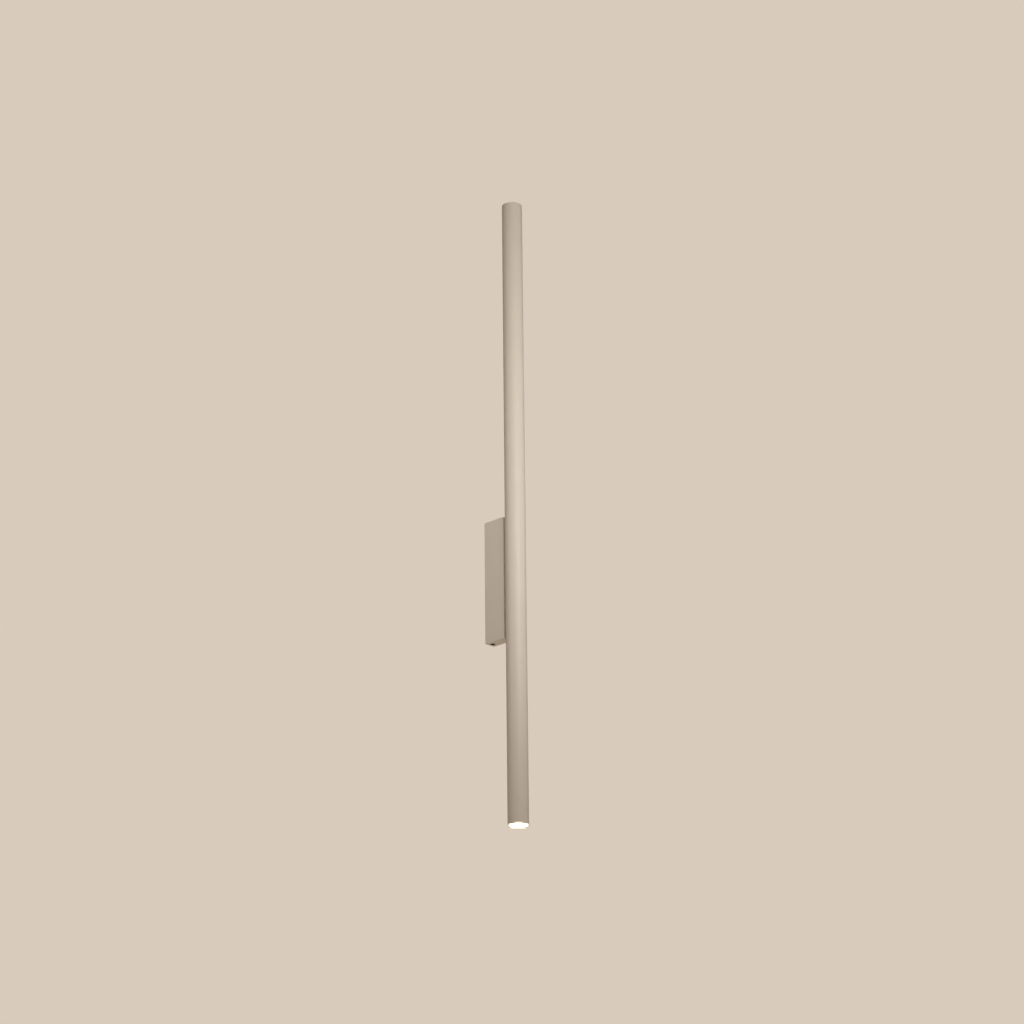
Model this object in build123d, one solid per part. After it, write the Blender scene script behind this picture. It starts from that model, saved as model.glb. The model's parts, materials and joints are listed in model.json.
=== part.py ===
from build123d import *
import os

# Tube wall light: a slim upright tube with a lamp in each end, carried by a flat housing that hangs on a wall
# plate. X runs along the wall, Y into the wall and Z up. The wall is the plane Y = 0, and the origin is the
# middle of the wall plate's back, level with the middle of the housing. All lengths are in millimetres.

# ---------------------------------------------------------------------------------------------------------
# Driving dimensions
# ---------------------------------------------------------------------------------------------------------

# Tube
tube_diameter = 30.0
tube_wall = 1.5
tube_length = 960.0
tube_below = 370.0  # from the middle of the housing down to the tube's lower end
tube_edge = 0.3  # broken edges of the tube's ends

# Housing, a deep box that is open towards the wall
housing_width = 18.0
housing_height = 185.0
housing_reach = 38.0  # from the wall to the housing's front face
housing_wall = 1.5
housing_edge = 0.4  # rounding of the outer edges
housing_corner = 0.5  # rounding of the inner corners
wall_gap = 0.8  # the housing's rim stays this far off the wall
saddle_gap = 0.5  # thinnest part of the saddle washers, between housing and tube

# Wall plate, a strip bent to a channel with a tab at each end
plate_thickness = 1.5
plate_bend = 1.0  # inner radius of the two bends
plate_side_gap = 0.3  # between the plate and each side wall of the housing
tab_reach = 12.0  # from the wall to the free edge of each tab
tab_gap = 0.1  # between the upper tab and the top wall that hangs on it
tab_corner = 2.0
wall_slot_spacing = 120.0
wall_slot_width = 4.5
wall_slot_length = 10.0
cable_hole_diameter = 11.0
cable_hole_drop = 25.0  # below the middle of the plate

# Grommet for the supply cable, in the wall plate
cable_passage_diameter = 8.5
entry_flange_width = 1.4
entry_flange_thickness = 1.2

# Lock screw in the housing's underside, and its threaded block
lock_setback = 7.5  # from the wall to the screw's axis
lock_hole_diameter = 7.0  # in the underside
lock_thread = 5.0
lock_length = 6.0
lock_socket = 2.5  # across the flats
lock_socket_depth = 2.5
lock_block_width = 12.0
lock_block_depth = 10.0
lock_block_height = 6.0
lock_block_gap = 0.3  # between the block and the lower tab
lock_tip_gap = 0.05  # between the screw's tip and the lower tab

# Fixing screws that hold the tube, with their saddle washers and the nut strip inside the tube
fixing_thread = 4.0
fixing_length = 8.0
fixing_head_diameter = 7.0
fixing_head_height = 2.4
fixing_socket = 2.5
saddle_width = 10.0
saddle_height = 12.0
strip_width = 12.0
strip_thickness = 4.5  # at its middle
strip_overhang = 9.0  # beyond each fixing screw

# Grommet where the lamp leads pass from the housing into the tube
lead_hole_diameter = 8.2
lead_passage_diameter = 5.2
lead_flange_diameter = 11.2
lead_flange_thickness = 1.2

# Lamp leads, one to each end of the tube
lead_diameter = 1.4
lead_pitch = 2.0  # between the two leads where they lie side by side
lead_bend = 4.5  # radius of a bend's inner lead
lead_tail = 3.0  # straight length below the driver
lead_strip_gap = 1.3  # between the leads and the nut strip or the screws' ends that they pass

# Terminal block and its stud
terminal_side_gap = 0.8
terminal_depth = 13.5  # from the housing's front wall
terminal_length = 16.0
terminal_ear = 7.0
terminal_ear_thickness = 3.0
tower_diameter = 6.0
tower_height = 2.5
pole_slot = 1.0  # groove between the two poles
barrel_diameter = 4.7
barrel_bore = 3.0
barrel_recess = 1.0
barrel_from_front = 9.5  # from the housing's front wall to the barrels' axes
terminal_thread = 2.5
terminal_screw_head = 3.6
terminal_screw_head_height = 1.6
terminal_screw_slot = 0.7
supply_lead_diameter = 1.8
supply_lead_insert = 9.0  # length of lead inside a barrel's end of the block
terminal_stud_thread = 3.0
terminal_nut_flats = 5.5
terminal_nut_height = 2.4

# Earth stud, its washer and nut
earth_thread = 4.0
earth_washer_diameter = 9.0
earth_washer_thickness = 0.8
earth_teeth = 12
earth_nut_flats = 7.0
earth_nut_height = 3.2
stud_base_diameter = 7.0
stud_base_height = 0.8
stud_end = 1.5  # how far each stud stands out of its nut

# Driver and the pads that hold it
driver_side_gap = 0.5
driver_rear_room = 8.5  # from the wall to the driver, left free for the supply cable
driver_top_gap = 5.0
driver_edge = 1.5
driver_lid_thickness = 2.0
driver_lid_inset = 0.6
driver_pad_thickness = 3.0
driver_pad_length = 14.0
bay_gap = 2.0  # between one item and the next up the housing's front wall

# Lamp at each end of the tube, from the tube's end inwards
end_recess = 0.6  # from the tube's end to the retaining ring
ring_thickness = 1.0
ring_width = 1.3
ring_groove_depth = 0.5
ring_opening = 7.0
lens_front = 2.0  # thickness of the lens's flange
lens_depth = 10.0  # from the flange to the lens's tip
lens_steps = 4  # cones that follow the parabola of the lens's side
lens_tip_diameter = 8.8
lens_pocket_diameter = 5.8
lens_pocket_depth = 3.5
sleeve_wall = 1.0
sleeve_gap = 0.4  # between the sleeve and the lens inside it
tip_gap = 0.9  # between the lens's tip and the board
board_thickness = 1.6
chip_size = 5.0
chip_thickness = 0.6
chip_dome_diameter = 4.4
chip_dome_height = 0.4
pad_thickness = 0.3
sink_length = 32.0
sink_head = 8.0
fin_count = 12
fin_thickness = 1.2
board_screw_thread = 2.5
board_screw_head = 4.4
board_screw_head_height = 1.4
board_screw_length = 7.0
board_screw_offset = 8.4
sink_screw_thread = 3.0
sink_screw_length = 5.0
sink_screw_socket = 1.5
sink_screw_recess = 0.6  # below the tube's outer surface

# Clearances that many pieces share
slide_fit = 0.05  # radius: a thread in its hole, a grommet's neck, a curved seat
bore_fit = 0.2  # radius: what slides into the tube's bore
screw_fit = 0.2  # radius: a screw through a plain hole
lead_fit = 0.2  # radius: a lead through a metal hole
fin_fit = 0.5  # between a lead and the heat sink's core

# ---------------------------------------------------------------------------------------------------------
# Places that follow from them
# ---------------------------------------------------------------------------------------------------------

tube_radius = tube_diameter / 2
bore_radius = tube_radius - tube_wall
tube_y = -(housing_reach + saddle_gap + tube_radius)
tube_bottom = -tube_below
tube_top = tube_length - tube_below

front_outside = -housing_reach
front_inside = front_outside + housing_wall
inner_width = housing_width - 2 * housing_wall
inner_top = housing_height / 2 - housing_wall
inner_bottom = -inner_top

upper_tab_top = inner_top - tab_gap
upper_tab_bottom = upper_tab_top - plate_thickness
lower_tab_bottom = inner_bottom + lock_block_height + lock_block_gap
lower_tab_top = lower_tab_bottom + plate_thickness
plate_width = inner_width - 2 * plate_side_gap

# Up the housing's front wall: terminal block, earth stud, lower fixing screw, lead grommet, driver
terminal_bottom = lower_tab_top + bay_gap
terminal_foot_top = terminal_bottom + terminal_ear
terminal_top = terminal_foot_top + terminal_length
terminal_width = inner_width - 2 * terminal_side_gap
pole_x = terminal_width / 4
barrel_y = front_inside + barrel_from_front
earth_z = terminal_top + bay_gap + earth_washer_diameter / 2
lower_screw_z = earth_z + earth_washer_diameter / 2 + bay_gap + fixing_head_diameter / 2
lead_hole_z = lower_screw_z + fixing_head_diameter / 2 + bay_gap + lead_flange_diameter / 2
driver_bottom = lead_hole_z + lead_pitch / 2 + lead_bend + lead_tail
driver_top = upper_tab_bottom - driver_top_gap
upper_screw_z = (driver_bottom + driver_top) / 2
driver_front = front_inside + driver_pad_thickness
driver_lid_y = -driver_rear_room - driver_lid_thickness

# The nut strip lies against the back of the tube's bore, and the leads run just in front of it
strip_front = tube_y + bore_radius - strip_thickness
lead_y = min(strip_front, front_inside - fixing_length) - lead_strip_gap - lead_diameter / 2
lead_offset = lead_y - tube_y  # from the tube's axis
lead_drop_y = front_inside + lead_flange_thickness + lead_bend

# Depths inside the tube, each measured from the tube's end inwards
ring_depth = end_recess + ring_thickness
lens_seat = ring_depth + slide_fit
flange_depth = lens_seat + lens_front
tip_depth = flange_depth + lens_depth
board_depth = tip_depth + tip_gap
pad_depth = board_depth + board_thickness
sink_depth = pad_depth + pad_thickness
sink_screw_depth = sink_depth + sink_head / 2

insert_radius = bore_radius - bore_fit
sleeve_bore = insert_radius - sleeve_wall


# ---------------------------------------------------------------------------------------------------------
# Shared forms
# ---------------------------------------------------------------------------------------------------------

def block(x0, x1, y0, y1, z0, z1):
    """A box between two corners."""
    return Pos((x0 + x1) / 2, (y0 + y1) / 2, (z0 + z1) / 2) * Box(x1 - x0, y1 - y0, z1 - z0)


def rod(radius, start, end):
    """A round bar from one point to another."""
    start, end = Vector(start), Vector(end)
    line = end - start
    return Plane(origin=start, z_dir=line) * Pos(0, 0, line.length / 2) * Cylinder(radius, line.length)


def ring(outer, inner, z0, z1):
    """A plain ring round the Z axis."""
    return rod(outer, (0, 0, z0), (0, 0, z1)) - rod(inner, (0, 0, z0), (0, 0, z1))


def hexagon(flats, start, end):
    """A six-sided bar from one point to another, given across its flats."""
    start, end = Vector(start), Vector(end)
    line = end - start
    face = Plane(origin=start, z_dir=line) * RegularPolygon(flats / 2, 6, major_radius=False)
    return extrude(face, line.length, dir=line.normalized())


def pan_screw(head, head_height, thread, length, seat, direction, socket):
    """A pan-head socket screw: its head sits on seat, and its shank runs off in direction."""
    seat, direction = Vector(seat), Vector(direction)
    top = seat - direction * head_height
    cap = rod(head / 2, seat, top)
    rim = cap.edges().filter_by(GeomType.CIRCLE).sort_by_distance(top)[0]
    cap = chamfer(rim, head_height / 3)
    screw = cap + rod(thread / 2 - slide_fit, seat, seat + direction * length)
    return screw - hexagon(socket, top, top + direction * head_height * 0.6)


def grub_screw(thread, length, tip, direction, socket, socket_depth):
    """A headless screw with a coned tip at tip; direction points from the tip to its socket end."""
    tip, direction = Vector(tip), Vector(direction)
    end = tip + direction * length
    screw = rod(thread / 2 - slide_fit, tip, end)
    nose = screw.edges().filter_by(GeomType.CIRCLE).sort_by_distance(tip)[0]
    screw = chamfer(nose, thread / 6)
    return screw - hexagon(socket, end, end - direction * socket_depth)


def neck_grommet(neck_radius, passage_radius, flange_radius, flange_thickness, neck_length):
    """A rubber grommet round the Z axis: its flange lies on Z = 0 and its neck goes down into the hole."""
    outer = rod(neck_radius, (0, 0, -neck_length), (0, 0, 0))
    flange = rod(flange_radius, (0, 0, 0), (0, 0, flange_thickness))
    flange = chamfer(flange.edges().filter_by(GeomType.CIRCLE).sort_by(Axis.Z)[-1], flange_thickness / 3)
    return outer + flange - rod(passage_radius, (0, 0, -neck_length), (0, 0, flange_thickness))


# ---------------------------------------------------------------------------------------------------------
# On the wall
# ---------------------------------------------------------------------------------------------------------

def make_wall_plate():
    """A strip with both ends bent forward into tabs, two upright slots and a cable hole.

    The upper tab's corners are rounded like the housing's inner corners, which they sit in.
    """
    height = upper_tab_top - lower_tab_bottom
    middle = (upper_tab_top + lower_tab_bottom) / 2
    outer = Pos(-tab_reach / 2, middle) * Rectangle(tab_reach, height)
    bends = outer.vertices().group_by(Axis.X)[-1]
    outer = fillet(bends, plate_bend + plate_thickness)
    inner = Pos(-(tab_reach + plate_thickness) / 2, middle) * Rectangle(
        tab_reach - plate_thickness, height - 2 * plate_thickness
    )
    inner = fillet(inner.vertices().group_by(Axis.X)[-1], plate_bend)
    plate = extrude(Plane.YZ * (outer - inner), plate_width / 2, both=True)
    tab_ends = plate.edges().filter_by(Axis.Z).group_by(Axis.Y)[0]
    plate = fillet(tab_ends, tab_corner)
    half = plate_width / 2
    room = block(-half, half, -tab_reach, 0, lower_tab_bottom, upper_tab_top)
    plate &= fillet(room.edges().filter_by(Axis.Y).group_by(Axis.Z)[-1], housing_corner)
    slot = Plane.XZ * SlotOverall(wall_slot_length, wall_slot_width, rotation=90)
    slot = extrude(slot, 2 * plate_thickness, both=True)
    for z in (-wall_slot_spacing / 2, wall_slot_spacing / 2):
        plate -= Pos(0, 0, z) * slot
    hole = rod(
        cable_hole_diameter / 2,
        (0, -2 * plate_thickness, -cable_hole_drop),
        (0, plate_thickness, -cable_hole_drop),
    )
    return plate - hole


def make_entry_grommet():
    """The rubber bush that guards the supply cable where it comes through the wall plate."""
    neck = cable_hole_diameter / 2 - slide_fit
    bush = neck_grommet(
        neck,
        cable_passage_diameter / 2,
        neck + entry_flange_width,
        entry_flange_thickness,
        plate_thickness - slide_fit,
    )
    return Plane(origin=(0, -plate_thickness, -cable_hole_drop), z_dir=(0, -1, 0)) * bush


# ---------------------------------------------------------------------------------------------------------
# Housing and what it holds
# ---------------------------------------------------------------------------------------------------------

def make_housing():
    """The deep box between wall and tube, open at the back, with its holes."""
    half = housing_width / 2
    shell = block(-half, half, front_outside, -wall_gap, -housing_height / 2, housing_height / 2)
    rounded = shell.edges() - shell.edges().group_by(Axis.Y)[-1]
    shell = fillet(rounded, min(housing_edge, housing_wall / 2))
    hollow = block(-inner_width / 2, inner_width / 2, front_inside, 0, inner_bottom, inner_top)
    hollow = fillet(hollow.edges().filter_by(Axis.Y), housing_corner)
    shell -= hollow
    drill = {
        lower_screw_z: fixing_thread / 2 + screw_fit,
        upper_screw_z: fixing_thread / 2 + screw_fit,
        lead_hole_z: lead_hole_diameter / 2,
    }
    for z, radius in drill.items():
        shell -= rod(radius, (0, front_outside - 1, z), (0, front_inside + 1, z))
    lock_hole = rod(
        lock_hole_diameter / 2,
        (0, -lock_setback, inner_bottom + 1),
        (0, -lock_setback, inner_bottom - housing_wall - 1),
    )
    return shell - lock_hole


def make_lock_block():
    """The threaded block on the housing's floor, behind the hole in the underside."""
    top = inner_bottom + lock_block_height
    half_width = min(lock_block_width, inner_width) / 2
    near, far = -lock_setback - lock_block_depth / 2, -lock_setback + lock_block_depth / 2
    body = block(-half_width, half_width, near, far, inner_bottom, top)
    body = fillet(body.edges().filter_by(Axis.Z), housing_corner)
    return body - rod(lock_thread / 2, (0, -lock_setback, inner_bottom), (0, -lock_setback, top))


def make_lock_screw():
    """The grub screw that presses up on the wall plate's lower tab; its socket faces down."""
    tip = (0, -lock_setback, lower_tab_bottom - lock_tip_gap)
    return grub_screw(lock_thread, lock_length, tip, (0, 0, -1), lock_socket, lock_socket_depth)


def make_stud(thread, z, seat_height, nut_height):
    """A threaded stud welded to the housing's front wall, long enough for what lies under its nut."""
    base = rod(stud_base_diameter / 2, (0, front_inside, z), (0, front_inside + stud_base_height, z))
    end = front_inside + seat_height + nut_height + stud_end
    return base + rod(thread / 2 - slide_fit, (0, front_inside, z), (0, end, z))


def make_nut(flats, thread, z, seat_height, nut_height):
    """A hexagon nut on one of the studs."""
    low, high = front_inside + seat_height, front_inside + seat_height + nut_height
    return hexagon(flats, (0, low, z), (0, high, z)) - rod(thread / 2, (0, low, z), (0, high, z))


terminal_stud_z = terminal_bottom + terminal_ear / 2
terminal_seat = stud_base_height + terminal_ear_thickness
earth_seat = stud_base_height + earth_washer_thickness


def make_terminal_block():
    """The two-pole terminal block: screw towers towards the wall, and an ear at its foot for the stud."""
    half = terminal_width / 2
    rear = front_inside + terminal_depth
    body = block(-half, half, front_inside, rear, terminal_foot_top, terminal_top)
    ear_back = front_inside + terminal_seat
    body += block(-half, half, front_inside + stud_base_height, ear_back, terminal_bottom, terminal_foot_top)
    screw_z = (terminal_foot_top + terminal_top) / 2
    for x in (-pole_x, pole_x):
        body += rod(tower_diameter / 2, (x, rear, screw_z), (x, rear + tower_height, screw_z))
    body -= block(
        -pole_slot / 2, pole_slot / 2, rear - 2 * pole_slot, rear, terminal_foot_top, terminal_top
    )
    for x in (-pole_x, pole_x):
        body -= rod(barrel_diameter / 2, (x, barrel_y, terminal_foot_top), (x, barrel_y, terminal_top))
        body -= rod(
            terminal_screw_head / 2 + slide_fit, (x, barrel_y, screw_z), (x, rear + tower_height, screw_z)
        )
    stud_hole = terminal_stud_thread / 2 + screw_fit
    return body - rod(stud_hole, (0, front_inside, terminal_stud_z), (0, ear_back, terminal_stud_z))


def make_terminal_barrels():
    """The two brass barrels in the terminal block, each tapped from the side for its clamping screw."""
    z0, z1 = terminal_foot_top + barrel_recess, terminal_top - barrel_recess
    screw_z = (terminal_foot_top + terminal_top) / 2
    barrel = ring(barrel_diameter / 2 - slide_fit, barrel_bore / 2, z0, z1)
    barrel -= rod(terminal_thread / 2, (0, 0, screw_z), (0, barrel_diameter, screw_z))
    return Pos(-pole_x, barrel_y, 0) * barrel + Pos(pole_x, barrel_y, 0) * barrel


def make_terminal_screws():
    """The two slotted clamping screws, tips on the supply leads."""
    screw_z = (terminal_foot_top + terminal_top) / 2
    tip = supply_lead_diameter / 2 + slide_fit
    shoulder = barrel_diameter / 2 + slide_fit
    end = shoulder + terminal_screw_head_height
    screw = rod(terminal_thread / 2 - slide_fit, (0, tip, 0), (0, shoulder, 0))
    screw += rod(terminal_screw_head / 2 - slide_fit, (0, shoulder, 0), (0, end, 0))
    slot = terminal_screw_slot
    screw -= block(-slot / 2, slot / 2, end - slot, end, -terminal_screw_head, terminal_screw_head)
    return Pos(-pole_x, barrel_y, screw_z) * screw + Pos(pole_x, barrel_y, screw_z) * screw


def make_supply_lead(x):
    """A straight lead from the driver down into one pole of the terminal block."""
    return rod(
        supply_lead_diameter / 2, (x, barrel_y, terminal_top - supply_lead_insert), (x, barrel_y, driver_bottom)
    )


def make_earth_washer():
    """A toothed washer under the earth nut, with pointed notches round its rim."""
    z0, z1 = 0, earth_washer_thickness
    washer = ring(earth_washer_diameter / 2, earth_thread / 2 + screw_fit, z0, z1)
    notch = earth_washer_diameter / 10
    for place in PolarLocations(earth_washer_diameter / 2, earth_teeth):
        washer -= place * Pos(0, 0, z1 / 2) * Rot(0, 0, 45) * Box(notch, notch, 2 * z1)
    return Plane(origin=(0, front_inside + stud_base_height, earth_z), z_dir=(0, 1, 0)) * washer


def make_driver_pads():
    """Two foam pads that stick the driver to the housing's front wall, above and below the screw."""
    half = inner_width / 2 - driver_side_gap - driver_edge
    low = block(-half, half, front_inside, driver_front, driver_bottom, driver_bottom + driver_pad_length)
    high = block(-half, half, front_inside, driver_front, driver_top - driver_pad_length, driver_top)
    return low + high


def make_driver_case():
    """The driver's moulded case, with long rounded edges."""
    half = inner_width / 2 - driver_side_gap
    case = block(-half, half, driver_front, driver_lid_y, driver_bottom, driver_top)
    return fillet(case.edges().filter_by(Axis.Z).group_by(Axis.Y)[0], driver_edge)


def make_driver_lid():
    """The driver's lid, a little smaller than the case that it closes."""
    half = inner_width / 2 - driver_side_gap - driver_lid_inset
    low, high = driver_bottom + driver_lid_inset, driver_top - driver_lid_inset
    lid = block(-half, half, driver_lid_y, -driver_rear_room, low, high)
    return chamfer(lid.faces().sort_by(Axis.Y)[-1].edges(), driver_lid_inset)


# ---------------------------------------------------------------------------------------------------------
# Tube and its fixing
# ---------------------------------------------------------------------------------------------------------

def back_drill(radius, z, depth=tube_radius):
    """A drill along Y that opens only the tube's back wall."""
    return rod(radius, (0, tube_y + tube_radius + 1, z), (0, tube_y + tube_radius - depth, z))


def make_tube():
    """The round tube, open at both ends, with a groove inside each end and five holes in its back."""
    middle = (tube_top + tube_bottom) / 2
    tube = Pos(0, tube_y, middle) * Cylinder(tube_radius, tube_length)
    tube -= Pos(0, tube_y, middle) * Cylinder(bore_radius, tube_length)
    ends = tube.edges().filter_by(GeomType.CIRCLE)
    tube = chamfer(ends, min(tube_edge, tube_wall / 4))
    groove = ring(bore_radius + ring_groove_depth, bore_radius - 1, end_recess, ring_depth + slide_fit)
    for place in end_places:
        tube -= place * groove
    for z in (lower_screw_z, upper_screw_z):
        tube -= back_drill(fixing_thread / 2 + screw_fit, z)
    tube -= back_drill(lead_hole_diameter / 2, lead_hole_z)
    for z in (tube_bottom + sink_screw_depth, tube_top - sink_screw_depth):
        tube -= back_drill(sink_screw_thread / 2 + screw_fit, z)
    return tube


def make_saddle_washers():
    """Two washers, flat on the housing and hollow on the other side to fit the tube."""
    half_width, half_height = min(saddle_width, housing_width) / 2, saddle_height / 2
    blank = block(-half_width, half_width, tube_y, front_outside, -half_height, half_height)
    blank -= rod(tube_radius + slide_fit, (0, tube_y, -saddle_height), (0, tube_y, saddle_height))
    blank -= rod(fixing_thread / 2 + screw_fit, (0, tube_y, 0), (0, 0, 0))
    return Pos(0, 0, lower_screw_z) * blank + Pos(0, 0, upper_screw_z) * blank


def make_nut_strip():
    """The tapped bar inside the tube, round at the back to lie in the bore, with the leads' hole."""
    z0, z1 = lower_screw_z - strip_overhang, upper_screw_z + strip_overhang
    bar = rod(bore_radius - slide_fit, (0, tube_y, z0), (0, tube_y, z1))
    bar &= block(-strip_width / 2, strip_width / 2, strip_front, tube_y + tube_radius, z0, z1)
    for z in (lower_screw_z, upper_screw_z):
        bar -= back_drill(fixing_thread / 2, z)
    return bar - back_drill(lead_hole_diameter / 2, lead_hole_z)


def make_fixing_screws():
    """The two screws from inside the housing through its front wall, the saddle and the tube."""
    screws = [
        pan_screw(
            fixing_head_diameter, fixing_head_height, fixing_thread, fixing_length,
            (0, front_inside, z), (0, -1, 0), fixing_socket,
        )
        for z in (lower_screw_z, upper_screw_z)
    ]
    return screws[0] + screws[1]


def make_lead_grommet():
    """The rubber bush through the housing's front wall and the back of the tube."""
    bush = neck_grommet(
        lead_hole_diameter / 2 - slide_fit,
        lead_passage_diameter / 2,
        lead_flange_diameter / 2,
        lead_flange_thickness,
        housing_wall + saddle_gap + tube_wall,
    )
    return Plane(origin=(0, front_inside, lead_hole_z), z_dir=(0, 1, 0)) * bush


def make_lamp_lead(direction):
    """A lamp lead: down from the driver, through the grommet, then up (1) or down (-1) the tube."""
    drop_y = lead_drop_y + (lead_pitch if direction < 0 else 0)
    pass_z = lead_hole_z + direction * lead_pitch / 2
    end_z = tube_top - pad_depth if direction > 0 else tube_bottom + pad_depth
    path = FilletPolyline(
        (0, drop_y, driver_bottom),
        (0, drop_y, pass_z),
        (0, lead_y, pass_z),
        (0, lead_y, end_z),
        radius=[drop_y - lead_drop_y + lead_bend, lead_bend],
    )
    section = Plane(origin=path @ 0, z_dir=path % 0) * Circle(lead_diameter / 2)
    return sweep(section, path=path)


# ---------------------------------------------------------------------------------------------------------
# Lamp at an end of the tube. Each piece is made once round the Z axis, with Z the depth from the tube's end.
# ---------------------------------------------------------------------------------------------------------

end_places = [
    Pos(0, tube_y, tube_bottom),
    Pos(0, tube_y, tube_top) * Rot(0, 180, 0),
]


def make_retaining_ring():
    """The open spring ring in the tube's groove that keeps the lens in."""
    outer = bore_radius + ring_groove_depth - slide_fit
    hoop = ring(outer, outer - ring_width, end_recess + slide_fit, ring_depth)
    return hoop - block(-ring_opening / 2, ring_opening / 2, -outer - 1, 0, 0, ring_depth + 1)


def make_lens():
    """The moulded lens: a round flange, a body that collects the light, and a pocket at its tip.

    The body's side follows a parabola about the axis, so its depth from the tip grows with the radius squared.
    """
    body_r = sleeve_bore - sleeve_gap
    tip_r, pocket_r = lens_tip_diameter / 2, lens_pocket_diameter / 2
    pocket_end = tip_depth - lens_pocket_depth
    radii = [body_r + (tip_r - body_r) * step / lens_steps for step in range(lens_steps + 1)]
    side = [(r, tip_depth - lens_depth * (r**2 - tip_r**2) / (body_r**2 - tip_r**2)) for r in radii]
    outline = Polyline(
        (0, lens_seat),
        (insert_radius, lens_seat),
        (insert_radius, flange_depth),
        *side,
        (pocket_r, tip_depth),
        (pocket_r, tip_depth - lens_pocket_depth / 2),
        (pocket_r / 2, pocket_end),
        (0, pocket_end),
        close=True,
    )
    return revolve(Plane.XZ * make_face(outline), Axis.Z)


def make_lens_sleeve():
    """The thin sleeve that spaces the lens from the board."""
    return ring(insert_radius, sleeve_bore, flange_depth, board_depth)


def board_holes(radius, z0, z1):
    """The two screw holes in anything that the board screws go through."""
    left = rod(radius, (-board_screw_offset, 0, z0), (-board_screw_offset, 0, z1))
    return left + rod(radius, (board_screw_offset, 0, z0), (board_screw_offset, 0, z1))


def make_led_board():
    """The round metal-core board that carries the light source."""
    board = rod(insert_radius, (0, 0, board_depth), (0, 0, pad_depth))
    return board - board_holes(board_screw_thread / 2 + slide_fit, board_depth, pad_depth)


def make_led_chip():
    """The light source: a square carrier with a low dome, under the lens's pocket."""
    half, base = chip_size / 2, board_depth - chip_thickness
    carrier = block(-half, half, -half, half, base, board_depth)
    return carrier + rod(chip_dome_diameter / 2, (0, 0, base - chip_dome_height), (0, 0, base))


def make_thermal_pad():
    """The thin pad between board and heat sink, with holes for the screws and the lead."""
    pad = rod(insert_radius, (0, 0, pad_depth), (0, 0, sink_depth))
    pad -= board_holes(board_screw_thread / 2 + slide_fit, pad_depth, sink_depth)
    return pad - rod(lead_diameter / 2 + lead_fit, (0, lead_offset, pad_depth), (0, lead_offset, sink_depth))


def make_heat_sink():
    """A turned aluminium plug: a solid head behind the board, then a core with fins out to the bore."""
    head_end, end = sink_depth + sink_head, sink_depth + sink_length
    core_radius = lead_offset - lead_diameter / 2 - fin_fit
    fins = rod(core_radius, (0, 0, head_end), (0, 0, end))
    pitch = 360 / fin_count
    for place in PolarLocations(0, fin_count, start_angle=90 + pitch / 2):
        fins += place * block(0, insert_radius, -fin_thickness / 2, fin_thickness / 2, head_end, end)
    fins &= rod(insert_radius, (0, 0, head_end), (0, 0, end))
    sink = rod(insert_radius, (0, 0, sink_depth), (0, 0, head_end)) + fins
    sink -= board_holes(board_screw_thread / 2, sink_depth, sink_depth + board_screw_length)
    sink -= rod(lead_diameter / 2 + lead_fit, (0, lead_offset, sink_depth), (0, lead_offset, head_end))
    tap_x = sink_screw_thread / 2
    return sink - rod(tap_x, (0, bore_radius, sink_screw_depth), (0, sink_screw_seat, sink_screw_depth))


sink_screw_end = tube_radius - sink_screw_recess
sink_screw_seat = sink_screw_end - sink_screw_length


def make_sink_screw():
    """The grub screw through the back of the tube that holds the heat sink in place."""
    tip = (0, sink_screw_seat, sink_screw_depth)
    return grub_screw(
        sink_screw_thread, sink_screw_length, tip, (0, 1, 0), sink_screw_socket, sink_screw_length / 2
    )


def make_board_screws():
    """The two round-headed screws that clamp board and pad to the heat sink."""
    head = rod(board_screw_head / 2, (0, 0, board_depth - board_screw_head_height), (0, 0, board_depth))
    shank_end = board_depth + board_screw_length
    screw = head + rod(board_screw_thread / 2 - slide_fit, (0, 0, board_depth), (0, 0, shank_end))
    return Pos(-board_screw_offset, 0, 0) * screw + Pos(board_screw_offset, 0, 0) * screw


# ---------------------------------------------------------------------------------------------------------
# Build and write
# ---------------------------------------------------------------------------------------------------------

parts = {
    "wall_plate": make_wall_plate(),
    "entry_grommet": make_entry_grommet(),
    "housing": make_housing(),
    "lock_block": make_lock_block(),
    "lock_screw": make_lock_screw(),
    "terminal_block": make_terminal_block(),
    "terminal_barrels": make_terminal_barrels(),
    "terminal_screws": make_terminal_screws(),
    "terminal_stud": make_stud(terminal_stud_thread, terminal_stud_z, terminal_seat, terminal_nut_height),
    "terminal_nut": make_nut(
        terminal_nut_flats, terminal_stud_thread, terminal_stud_z, terminal_seat, terminal_nut_height
    ),
    "live_lead": make_supply_lead(-pole_x),
    "neutral_lead": make_supply_lead(pole_x),
    "earth_stud": make_stud(earth_thread, earth_z, earth_seat, earth_nut_height),
    "earth_washer": make_earth_washer(),
    "earth_nut": make_nut(earth_nut_flats, earth_thread, earth_z, earth_seat, earth_nut_height),
    "driver_pads": make_driver_pads(),
    "driver_case": make_driver_case(),
    "driver_lid": make_driver_lid(),
    "tube": make_tube(),
    "saddle_washers": make_saddle_washers(),
    "fixing_screws": make_fixing_screws(),
    "nut_strip": make_nut_strip(),
    "tube_grommet": make_lead_grommet(),
    "led_lead_upper": make_lamp_lead(1),
    "led_lead_lower": make_lamp_lead(-1),
}

lamp_pieces = {
    "retaining_ring": make_retaining_ring(),
    "lens": make_lens(),
    "lens_sleeve": make_lens_sleeve(),
    "led_chip": make_led_chip(),
    "led_board": make_led_board(),
    "board_screws": make_board_screws(),
    "thermal_pad": make_thermal_pad(),
    "heat_sink": make_heat_sink(),
    "sink_screw": make_sink_screw(),
}
for name, piece in lamp_pieces.items():
    for end, place in zip(("lower", "upper"), end_places):
        parts[f"{name}_{end}"] = place * piece

os.makedirs("parts", exist_ok=True)
for name, piece in parts.items():
    export_step(piece, f"parts/{name}.step")
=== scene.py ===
import json
import math

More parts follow.
